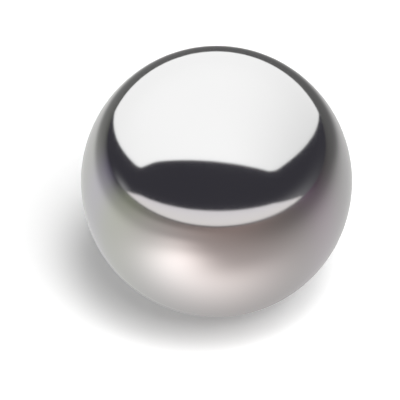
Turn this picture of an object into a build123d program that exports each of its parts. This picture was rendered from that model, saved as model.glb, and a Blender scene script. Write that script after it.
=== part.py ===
from build123d import *

import os

# A polished steel ball: one solid sphere with no flat, hole, seam or coating.
# The origin is the ball's centre. The ball touches a level surface at one
# point, one radius below the origin.

# Driving dimension, in millimetres: a standard one-inch ball
MM_PER_INCH = 25.4
BALL_DIAMETER = 1.0 * MM_PER_INCH

# Size worked out from it
BALL_RADIUS = BALL_DIAMETER / 2


def make_ball():
    """The ball, as the half-disc on one side of its axis turned once round Z."""
    rim = CenterArc((0, 0), BALL_RADIUS, start_angle=-90, arc_size=180)
    axis_line = Line((0, BALL_RADIUS), (0, -BALL_RADIUS))
    half_disc = Plane.XZ * make_face([rim, axis_line])
    return revolve(half_disc, Axis.Z)


def main():
    os.makedirs("parts", exist_ok=True)
    steel_ball = make_ball()
    steel_ball.label = "steel_ball"
    export_step(steel_ball, "parts/steel_ball.step")


main()
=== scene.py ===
import math

import bmesh
import bpy
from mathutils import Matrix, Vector


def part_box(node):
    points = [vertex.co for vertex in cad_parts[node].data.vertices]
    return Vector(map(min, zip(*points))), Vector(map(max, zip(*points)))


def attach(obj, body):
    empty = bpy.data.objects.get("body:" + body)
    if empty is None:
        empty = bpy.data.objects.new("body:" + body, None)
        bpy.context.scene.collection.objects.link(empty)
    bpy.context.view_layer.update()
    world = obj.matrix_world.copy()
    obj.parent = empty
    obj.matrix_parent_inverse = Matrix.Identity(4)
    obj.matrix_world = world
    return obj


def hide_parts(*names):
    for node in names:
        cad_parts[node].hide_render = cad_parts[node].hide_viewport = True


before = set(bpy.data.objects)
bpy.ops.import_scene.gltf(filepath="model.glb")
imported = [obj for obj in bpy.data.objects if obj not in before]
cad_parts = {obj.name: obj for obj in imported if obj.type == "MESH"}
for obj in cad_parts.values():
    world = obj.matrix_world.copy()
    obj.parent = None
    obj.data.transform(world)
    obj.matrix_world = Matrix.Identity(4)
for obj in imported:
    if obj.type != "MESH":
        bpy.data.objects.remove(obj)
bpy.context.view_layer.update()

# The ball's own sizes, in metres, from the frame
BALL_LOW, BALL_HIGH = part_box("steel_ball")
BALL_RADIUS = (BALL_HIGH.z - BALL_LOW.z) / 2
FLOOR_LEVEL = BALL_LOW.z

# Where the ball lies in the photograph, in its pixels from the top left corner
PHOTO_SIDE = 400
PHOTO_BALL_X = 216.4
PHOTO_BALL_Y = 181.3
PHOTO_BALL_RADIUS = 135.6

# Camera: its lens and sensor in millimetres, and how deep it sees in ball radii
CAMERA_ELEVATION = math.radians(38.0)
CAMERA_LENS = 200.0
CAMERA_SENSOR = 36.0
CAMERA_DEPTH = 1000.0

# The ball's mesh: an icosphere divided this often is smooth enough for a mirror
BALL_DIVISIONS = 7

# Polished steel: its colour, its polish and how much both vary in soft clouds
STEEL_COLOUR = (0.60, 0.60, 0.60)
STEEL_ROUGHNESS = 0.085
COLOUR_CLOUDING = 0.02
POLISH_CLOUDING = 0.2
CLOUDS_PER_RADIUS = 1.3
CLOUD_DETAIL = 3.0

# Hair-fine marks that lapping leaves, one set for each turn. The shares say how much of
# that turn goes round X, Y and Z.
LAPPING_TURNS = (0.3, 1.4, 2.5)
LAPPING_TURN_SHARES = (1.0, 0.7, 1.6)
MARKS_PER_RADIUS = 90.0
MARK_DETAIL = 1.0
MARK_STRETCH = 30.0
MARK_WIDTH = 0.02
MARK_DEPTH = 0.0000005
MARK_STRENGTH = 0.15

# Studio round the ball, in ball radii from its centre: X to the right, Y away from the camera
TENT_RADIUS = 140.0
TENT_DIVISIONS = 5
FLOOR_RADIUS = 120.0
FLOOR_SIDES = 96
FLOOR_BACK_EDGE = 90.0
FLOOR_BACK_TURN = math.radians(40)

# Edges of the white tent, as lines on a level plane one ball radius above the ball's centre.
# Each has a point, and a turn from X. The tent lies to the left of the line.
TENT_EDGES = (
    ((0.0, -0.72), math.radians(-6.7)),
    ((1.42, -0.83), math.radians(17)),
    ((1.57, -0.77), math.radians(47.2)),
    ((-2.66, -0.55), math.radians(-46.2)),
)

# The tent's front left corner hangs lower, as a flap. Its outline is given on the same
# level plane, and it hangs at this height, just inside the tent.
TENT_FLAP = ((-2.86, -0.34), (-2.60, -0.525), (-2.41, -0.575), (-2.1, -0.575), (-1.3, -0.56))
TENT_FLAP_HEIGHT = 45.0

# The pale wall behind the camera: its distance in ball radii, then its heights and the ends
# of its foot and top, all as shares of that distance
WALL_DISTANCE = 100.0
WALL_FOOT_LEFT = 0.005
WALL_FOOT_RIGHT = 0.020
WALL_TOP = 0.243
WALL_FOOT_ENDS = (-5.2, 3.8)
WALL_TOP_ENDS = (-2.3, 1.1)

# How bright each part of the studio is, where 1 is white. The tent fades near the horizon,
# up to a share of its radius, and to the right.
TENT_GLOW = 1.533
TENT_FADE_LOW = 0.10
TENT_FADE_HEIGHT = 0.45
TENT_FADE_RIGHT = 0.20
WALL_GLOW_FOOT = (1.11, 1.06, 1.03)
WALL_GLOW_TOP = (1.04, 1.00, 1.04)
ROOM_GLOW = (0.052, 0.050, 0.062)
AMBIENT_GLOW = 0.165

# Haze on the room's horizon: the way it lies, its width, height and brightness
HAZES = (
    (math.radians(57), 0.52, 0.113, 0.24),
    (math.radians(-82), 0.185, 0.053, 0.28),
)

# White paper under the ball, as the camera sees it: a glow of its own lifts it near the ball,
# and brings it to full white past the lamps' reach
PAPER_COLOUR = (0.95, 0.95, 0.95)
PAPER_LIFT = 0.165
PAPER_LIFT_FAR = 0.8
LAMP_REACH = 14.0

# The same paper as the steel shows it, as painted light: bright round the middle, and fading past
# these reaches
PAPER_MIDDLE = (-2.47, 2.26)
PAPER_REACH_LEFT = 2.6
PAPER_REACH_RIGHT = 7.35
PAPER_REACH_FRONT = 5.2
PAPER_REACH_BACK = 2.2
PAPER_FADE = 5.2
PAPER_NEAR = 0.667
PAPER_FAR_LEFT = 0.30
PAPER_FAR_RIGHT = 0.15
PAPER_FAR_FRONT = 0.28
PAPER_FAR_BACK = 0.14

# Behind the ball, the painted light on the left and right ends too: its reach, how bright the
# paper is past that, and how sharply this sets in from the sides to the back
PAPER_SIDE_REACH = 23.5
PAPER_SIDE_END = 0.085
PAPER_SIDE_SHARPNESS = 4.0

# Painted shadow under the ball: how dark it is, and how far it reaches
PAINTED_SHADOW_DARKNESS = 0.58
PAINTED_SHADOW_REACH = 0.76

# Painted pools of light on the paper, as the steel shows it: middle, half width, half depth,
# brightness
PAINTED_POOLS = (
    ((-5.9, -6.4), 5.9, 9.0, 0.21),
    ((-1.98, -3.67), 1.18, 1.54, 0.37),
    ((-1.02, -2.18), 0.86, 1.03, 0.81),
    ((0.06, -1.5), 1.03, 0.60, 0.355),
)

# Tints of the painted light on the paper in the steel: the way each lies, how narrow it is, where
# it is half strong, its colour
PAINTED_LIGHT_TINTS = (
    (math.radians(13), 1.9, 3.45, (1.34, 1.0, 0.92)),
    (math.radians(-91), 5.9, 6.3, (0.89, 1.0, 0.60)),
    (math.radians(83), 23.0, 18.0, (1.50, 1.0, 1.44)),
    (math.radians(-102), 21.5, 9.1, (1.14, 1.0, 1.50)),
)

# Round lamps: name, azimuth, elevation, half their width as an angle at the ball, and
# brightness, which is what white paper on the floor gets from that lamp alone
LAMPS = (
    ("wide_lamp", math.radians(32), math.radians(60), math.radians(22), 0.757),
    ("narrow_lamp", math.radians(24), math.radians(72), math.radians(10), 0.238),
)
LAMP_DISTANCE = 25.0

WHITE = (1.0, 1.0, 1.0, 1.0)


class Wire:
    """An output of a shader node. Arithmetic on it adds Math nodes to the same material."""

    def __init__(self, sheet, socket):
        self.sheet = sheet
        self.socket = socket

    def __add__(self, other):
        return self.sheet.math("ADD", self, other)

    def __sub__(self, other):
        return self.sheet.math("SUBTRACT", self, other)

    def __mul__(self, other):
        return self.sheet.math("MULTIPLY", self, other)

    def __truediv__(self, other):
        return self.sheet.math("DIVIDE", self, other)

    def __pow__(self, other):
        return self.sheet.math("POWER", self, other)

    def __radd__(self, other):
        return self.sheet.math("ADD", other, self)

    def __rsub__(self, other):
        return self.sheet.math("SUBTRACT", other, self)

    def __rmul__(self, other):
        return self.sheet.math("MULTIPLY", other, self)

    def __rtruediv__(self, other):
        return self.sheet.math("DIVIDE", other, self)

    def __neg__(self):
        return self.sheet.math("MULTIPLY", self, -1.0)


class Sheet:
    """The node tree of one material or of the world, emptied and ready for new nodes."""

    def __init__(self, owner):
        owner.use_nodes = True
        self.tree = owner.node_tree
        self.tree.nodes.clear()

    def node(self, kind, settings=None, sockets=None, output=0):
        """A new node: its settings are set first, then its sockets take values or links."""
        made = self.tree.nodes.new(kind)
        for name, value in (settings or {}).items():
            setattr(made, name, value)
        for name, value in (sockets or {}).items():
            if isinstance(value, Wire):
                self.tree.links.new(value.socket, made.inputs[name])
            else:
                made.inputs[name].default_value = value
        if not made.outputs:
            return None
        return Wire(self, made.outputs[output])

    def math(self, operation, *values):
        return self.node("ShaderNodeMath", {"operation": operation}, dict(enumerate(values)))

    def larger(self, first, second):
        return self.math("MAXIMUM", first, second)

    def share(self, value):
        """The value, held between nought and one."""
        return self.node("ShaderNodeClamp", None, {"Value": value})

    def bell(self, distance_squared):
        """A hill of height 1 where the squared distance is nought."""
        return self.math("EXPONENT", -distance_squared)

    def blend_colours(self, share, first, second):
        """The Mix node has sockets of its own for colours: 6 and 7 in, and 2 out."""
        mixed = {0: share, 6: first, 7: second}
        return self.node("ShaderNodeMix", {"data_type": "RGBA"}, mixed, output=2)

    def blend_shaders(self, share, first, second):
        return self.node("ShaderNodeMixShader", None, {0: share, 1: first, 2: second})

    def add_shaders(self, first, second):
        return self.node("ShaderNodeAddShader", None, {0: first, 1: second})

    def glow(self, colour, strength=1.0):
        return self.node("ShaderNodeEmission", None, {"Color": colour, "Strength": strength})

    def backdrop(self, colour, strength=1.0):
        return self.node("ShaderNodeBackground", None, {"Color": colour, "Strength": strength})

    def ray(self, name):
        return self.node("ShaderNodeLightPath", output=name)

    def parts(self, place):
        """The three numbers of a place or a direction."""
        return [
            self.node("ShaderNodeSeparateXYZ", None, {0: place}, output=axis) for axis in range(3)
        ]

    def place(self):
        """Object coordinates, in metres."""
        return self.node("ShaderNodeTexCoord", output="Object")

    def world_direction(self):
        """The direction that a ray to the world takes."""
        return self.node("ShaderNodeTexCoord", output="Generated")

    def surface(self, shader):
        self.node("ShaderNodeOutputMaterial", None, {"Surface": shader})


def opaque(colour):
    return (*colour, 1.0)


def direction(azimuth, elevation=0.0):
    """A unit vector. An azimuth of 0 is toward the camera, and it grows to the right."""
    level = math.cos(elevation)
    return Vector((math.sin(azimuth) * level, -math.cos(azimuth) * level, math.sin(elevation)))


def put_in_scene(name, shape, material):
    """Makes a bmesh into an object at the origin, with smooth faces."""
    mesh = bpy.data.meshes.new(name)
    for face in shape.faces:
        face.smooth = True
    shape.to_mesh(mesh)
    shape.free()
    mesh.materials.append(material)
    made = bpy.data.objects.new(name, mesh)
    bpy.context.scene.collection.objects.link(made)
    return made


def aim_camera():
    """Looks down on the ball from the photograph's height, with the ball where it is there."""
    sensor_slope = CAMERA_SENSOR / 2 / CAMERA_LENS
    pixel_slope = sensor_slope / (PHOTO_SIDE / 2)
    half_angle = math.atan(PHOTO_BALL_RADIUS * pixel_slope)
    distance = BALL_RADIUS / math.sin(half_angle)
    toward = direction(0.0, CAMERA_ELEVATION)
    right = Vector((1, 0, 0))
    up = toward.cross(right)
    shift_right = (PHOTO_BALL_X - PHOTO_SIDE / 2) * pixel_slope * distance
    shift_up = (PHOTO_SIDE / 2 - PHOTO_BALL_Y) * pixel_slope * distance
    target = -right * shift_right - up * shift_up
    place = toward * distance

    lens = bpy.data.cameras.new("camera")
    lens.lens = CAMERA_LENS
    lens.sensor_width = CAMERA_SENSOR
    lens.clip_start = BALL_RADIUS
    lens.clip_end = CAMERA_DEPTH * BALL_RADIUS
    camera = bpy.data.objects.new("camera", lens)
    camera.location = place
    camera.rotation_mode = "QUATERNION"
    camera.rotation_quaternion = (target - place).to_track_quat("-Z", "Y")
    bpy.context.scene.collection.objects.link(camera)
    bpy.context.scene.camera = camera


def lapping_marks(sheet, place, turn):
    """One set of long thin marks, which run the same way: 1 along each mark and 0 between."""
    turned = sheet.node(
        "ShaderNodeMapping",
        None,
        {
            "Vector": place,
            "Rotation": [share * turn for share in LAPPING_TURN_SHARES],
            "Scale": (MARKS_PER_RADIUS / MARK_STRETCH, MARKS_PER_RADIUS, MARKS_PER_RADIUS),
        },
    )
    grain = sheet.node(
        "ShaderNodeTexNoise",
        None,
        {"Vector": turned, "Scale": 1 / BALL_RADIUS, "Detail": MARK_DETAIL},
    )
    off_line = sheet.math("ABSOLUTE", grain - 0.5)
    return 1 - sheet.share(off_line / MARK_WIDTH)


def polished_steel():
    """Lapped steel: a mirror with the faintest clouding and hair-fine random marks."""
    material = bpy.data.materials.new("polished_steel")
    sheet = Sheet(material)
    place = sheet.place()
    cloud = sheet.node(
        "ShaderNodeTexNoise",
        None,
        {"Vector": place, "Scale": CLOUDS_PER_RADIUS / BALL_RADIUS, "Detail": CLOUD_DETAIL},
    )
    dark = opaque([(1 - COLOUR_CLOUDING) * part for part in STEEL_COLOUR])
    light = opaque([(1 + COLOUR_CLOUDING) * part for part in STEEL_COLOUR])
    marks = 0.0
    for turn in LAPPING_TURNS:
        marks = marks + lapping_marks(sheet, place, turn)
    bump = sheet.node(
        "ShaderNodeBump",
        {"invert": True},
        {"Height": marks, "Strength": MARK_STRENGTH, "Distance": MARK_DEPTH},
    )
    shader = sheet.node(
        "ShaderNodeBsdfPrincipled",
        None,
        {
            "Base Color": sheet.blend_colours(cloud, dark, light),
            "Metallic": 1.0,
            "Roughness": STEEL_ROUGHNESS * (1 + POLISH_CLOUDING * (2 * cloud - 1)),
            "Normal": bump,
        },
    )
    sheet.surface(shader)
    return material


def make_ball():
    """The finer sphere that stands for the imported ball."""
    shape = bmesh.new()
    bmesh.ops.create_icosphere(shape, subdivisions=BALL_DIVISIONS, radius=BALL_RADIUS)
    ball = put_in_scene("polished_ball", shape, polished_steel())
    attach(ball, "root")
    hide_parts("steel_ball")


def painted_paper_light(sheet, x, y, distance):
    """The painted light on the paper as the steel shows it, with x, y and distance in ball radii.
    """
    left_of = sheet.larger(PAPER_MIDDLE[0] - x, 0.0) / PAPER_REACH_LEFT
    right_of = sheet.larger(x - PAPER_MIDDLE[0], 0.0) / PAPER_REACH_RIGHT
    front_of = sheet.larger(PAPER_MIDDLE[1] - y, 0.0) / PAPER_REACH_FRONT
    back_of = sheet.larger(y - PAPER_MIDDLE[1], 0.0) / PAPER_REACH_BACK
    across = left_of + right_of
    along = front_of + back_of
    near = 1 / (1 + (across * across + along * along) ** (PAPER_FADE / 2))

    backness = y / distance
    side = x * x / (distance * distance)
    on_right = sheet.math("GREATER_THAN", x, 0.0)
    far_side = PAPER_FAR_LEFT + (PAPER_FAR_RIGHT - PAPER_FAR_LEFT) * on_right
    out_of_reach = 1 - sheet.bell(distance * distance / PAPER_SIDE_REACH ** 2)
    ended = out_of_reach * sheet.share(1 + PAPER_SIDE_SHARPNESS * backness)
    far_side = far_side + (PAPER_SIDE_END - far_side) * ended
    far_along = PAPER_FAR_BACK + (PAPER_FAR_FRONT - PAPER_FAR_BACK) * (0.5 - 0.5 * backness)
    far = far_along + (far_side - far_along) * side

    glow = far + (PAPER_NEAR - far) * near
    # Painted shadow under the ball
    glow = glow * (1 - PAINTED_SHADOW_DARKNESS * sheet.bell(distance * distance / PAINTED_SHADOW_REACH ** 2))
    # Painted pools of light
    for (middle_x, middle_y), half_width, half_depth, brightness in PAINTED_POOLS:
        pool_x = (x - middle_x) / half_width
        pool_y = (y - middle_y) / half_depth
        glow = glow + brightness * sheet.bell(pool_x * pool_x + pool_y * pool_y)
    return glow


def painted_light_tint(sheet, x, y, distance):
    """The colour of the painted light on the paper in the steel: plain close by, and tinted by the
    way it lies far off.
    """
    tint = WHITE
    for azimuth, narrowness, half_way, colour in PAINTED_LIGHT_TINTS:
        toward = direction(azimuth)
        likeness = (x * toward.x + y * toward.y) / distance
        narrow = sheet.math("EXPONENT", narrowness * (likeness - 1))
        strength = narrow * distance / (distance + half_way)
        tint = sheet.blend_colours(strength, tint, opaque(colour))
    return tint


def paper_and_painted_light():
    """White paper under the ball. In the steel it shows painted light instead: painted pools of
    light, a painted shadow under the ball, and painted fading with distance.
    """
    material = bpy.data.materials.new("white_paper_and_painted_light")
    sheet = Sheet(material)
    x, y, _ = sheet.parts(sheet.place())
    x = x / BALL_RADIUS
    y = y / BALL_RADIUS
    distance = (x * x + y * y) ** 0.5
    seen = sheet.node("ShaderNodeBsdfDiffuse", None, {"Color": opaque(PAPER_COLOUR)})
    far_off = 1 - sheet.bell(distance * distance / LAMP_REACH ** 2)
    lift = PAPER_LIFT + (PAPER_LIFT_FAR - PAPER_LIFT) * far_off
    to_camera = sheet.add_shaders(seen, sheet.glow(WHITE, lift))
    # In the steel the paper is a glow of painted light and painted shade
    in_steel = sheet.glow(painted_light_tint(sheet, x, y, distance), painted_paper_light(sheet, x, y, distance))
    sheet.surface(sheet.blend_shaders(sheet.ray("Is Glossy Ray"), to_camera, in_steel))
    return material


def tent_finish():
    """White cloth that glows, a little less near the horizon and to the right."""
    material = bpy.data.materials.new("tent_cloth")
    sheet = Sheet(material)
    x, _, z = sheet.parts(sheet.place())
    rightness = sheet.larger(x / (TENT_RADIUS * BALL_RADIUS), 0.0)
    height = z / (TENT_RADIUS * TENT_FADE_HEIGHT * BALL_RADIUS)
    fade = TENT_FADE_LOW * sheet.bell(height * height) + TENT_FADE_RIGHT * rightness * rightness
    sheet.surface(sheet.glow(WHITE, TENT_GLOW * (1 - fade)))
    return material


def painted_wall_glow():
    """A glow that stands for the light on a pale wall, painted warm near the floor and cool higher
    up.
    """
    material = bpy.data.materials.new("painted_wall_light")
    sheet = Sheet(material)
    _, _, z = sheet.parts(sheet.place())
    height = sheet.share(z / (WALL_DISTANCE * BALL_RADIUS * WALL_TOP))
    colour = sheet.blend_colours(height, opaque(WALL_GLOW_FOOT), opaque(WALL_GLOW_TOP))
    sheet.surface(sheet.glow(colour))
    return material


def only_in_steel(card):
    """A card that lights nothing and that only the steel shows."""
    card.visible_camera = False
    card.visible_diffuse = False
    card.visible_shadow = False


def cut_away(shape, point, normal):
    """Takes away what lies beyond the plane, on the side that its normal points to."""
    bmesh.ops.bisect_plane(
        shape,
        geom=shape.verts[:] + shape.edges[:] + shape.faces[:],
        plane_co=point,
        plane_no=normal,
        clear_outer=True,
    )


def make_floor():
    """The level paper under the ball, cut off behind it along a slanted edge."""
    shape = bmesh.new()
    bmesh.ops.create_circle(
        shape, cap_ends=True, segments=FLOOR_SIDES, radius=FLOOR_RADIUS * BALL_RADIUS
    )
    bmesh.ops.translate(shape, verts=shape.verts[:], vec=(0, 0, FLOOR_LEVEL))
    outward = (-math.sin(FLOOR_BACK_TURN), math.cos(FLOOR_BACK_TURN), 0)
    cut_away(shape, (0, FLOOR_BACK_EDGE * BALL_RADIUS, 0), outward)
    put_in_scene("floor", shape, paper_and_painted_light())


def make_tent():
    """The white tent over and behind the ball, cut along planes through the ball's centre."""
    shape = bmesh.new()
    bmesh.ops.create_icosphere(
        shape, subdivisions=TENT_DIVISIONS, radius=TENT_RADIUS * BALL_RADIUS
    )
    for (x, y), turn in TENT_EDGES:
        along = Vector((math.cos(turn), math.sin(turn), 0))
        cut_away(shape, (0, 0, 0), along.cross(Vector((x, y, 1))))
    height = TENT_FLAP_HEIGHT * BALL_RADIUS
    shape.faces.new([shape.verts.new((x * height, y * height, height)) for x, y in TENT_FLAP])
    only_in_steel(put_in_scene("tent", shape, tent_finish()))


def make_wall():
    """A glowing card of painted light for the pale wall behind the camera, which the steel shows
    as a crescent.
    """
    distance = WALL_DISTANCE * BALL_RADIUS
    corners = (
        (WALL_FOOT_ENDS[0], WALL_FOOT_LEFT),
        (WALL_FOOT_ENDS[1], WALL_FOOT_RIGHT),
        (WALL_TOP_ENDS[1], WALL_TOP),
        (WALL_TOP_ENDS[0], WALL_TOP),
    )
    shape = bmesh.new()
    shape.faces.new([shape.verts.new((x * distance, -distance, z * distance)) for x, z in corners])
    only_in_steel(put_in_scene("wall", shape, painted_wall_glow()))


def room_haze(sheet):
    """Patches of haze on the horizon, by the direction of a ray."""
    x, y, z = sheet.parts(sheet.world_direction())
    haze = 0.0
    for azimuth, width, height, brightness in HAZES:
        toward = direction(azimuth)
        off_x = (x - toward.x) / width
        off_y = (y - toward.y) / width
        off_z = z / height
        haze = haze + brightness * sheet.bell(off_x * off_x + off_y * off_y + off_z * off_z)
    return haze


def light_world():
    """White to the camera, a plain level of light on the stage, and a dark room in the steel."""
    world = bpy.data.worlds.new("studio")
    bpy.context.scene.world = world
    sheet = Sheet(world)
    ambient = sheet.backdrop(WHITE, AMBIENT_GLOW)
    outside_steel = sheet.blend_shaders(sheet.ray("Is Camera Ray"), ambient, sheet.backdrop(WHITE))
    room = sheet.add_shaders(
        sheet.backdrop(opaque(ROOM_GLOW)), sheet.backdrop(WHITE, room_haze(sheet))
    )
    seen = sheet.blend_shaders(sheet.ray("Is Glossy Ray"), outside_steel, room)
    sheet.node("ShaderNodeOutputWorld", None, {"Surface": seen})


def hang_lamp(name, azimuth, elevation, spread, brightness):
    """A soft round lamp, which the steel doesn't show, aimed at the ball."""
    distance = LAMP_DISTANCE * BALL_RADIUS
    light = bpy.data.lights.new(name, "AREA")
    light.shape = "DISK"
    light.size = 2 * distance * math.tan(spread)
    radiance = brightness / (math.sin(elevation) * math.sin(spread) ** 2)
    light.energy = radiance * math.pi ** 2 * (light.size / 2) ** 2
    lamp = bpy.data.objects.new(name, light)
    lamp.location = direction(azimuth, elevation) * distance
    lamp.rotation_mode = "QUATERNION"
    lamp.rotation_quaternion = (-lamp.location).to_track_quat("-Z", "Y")
    lamp.visible_glossy = False
    lamp.visible_camera = False
    bpy.context.scene.collection.objects.link(lamp)


aim_camera()
make_ball()
make_floor()
make_tent()
make_wall()
light_world()
for lamp_values in LAMPS:
    hang_lamp(*lamp_values)
bpy.context.scene.view_settings.view_transform = "Standard"
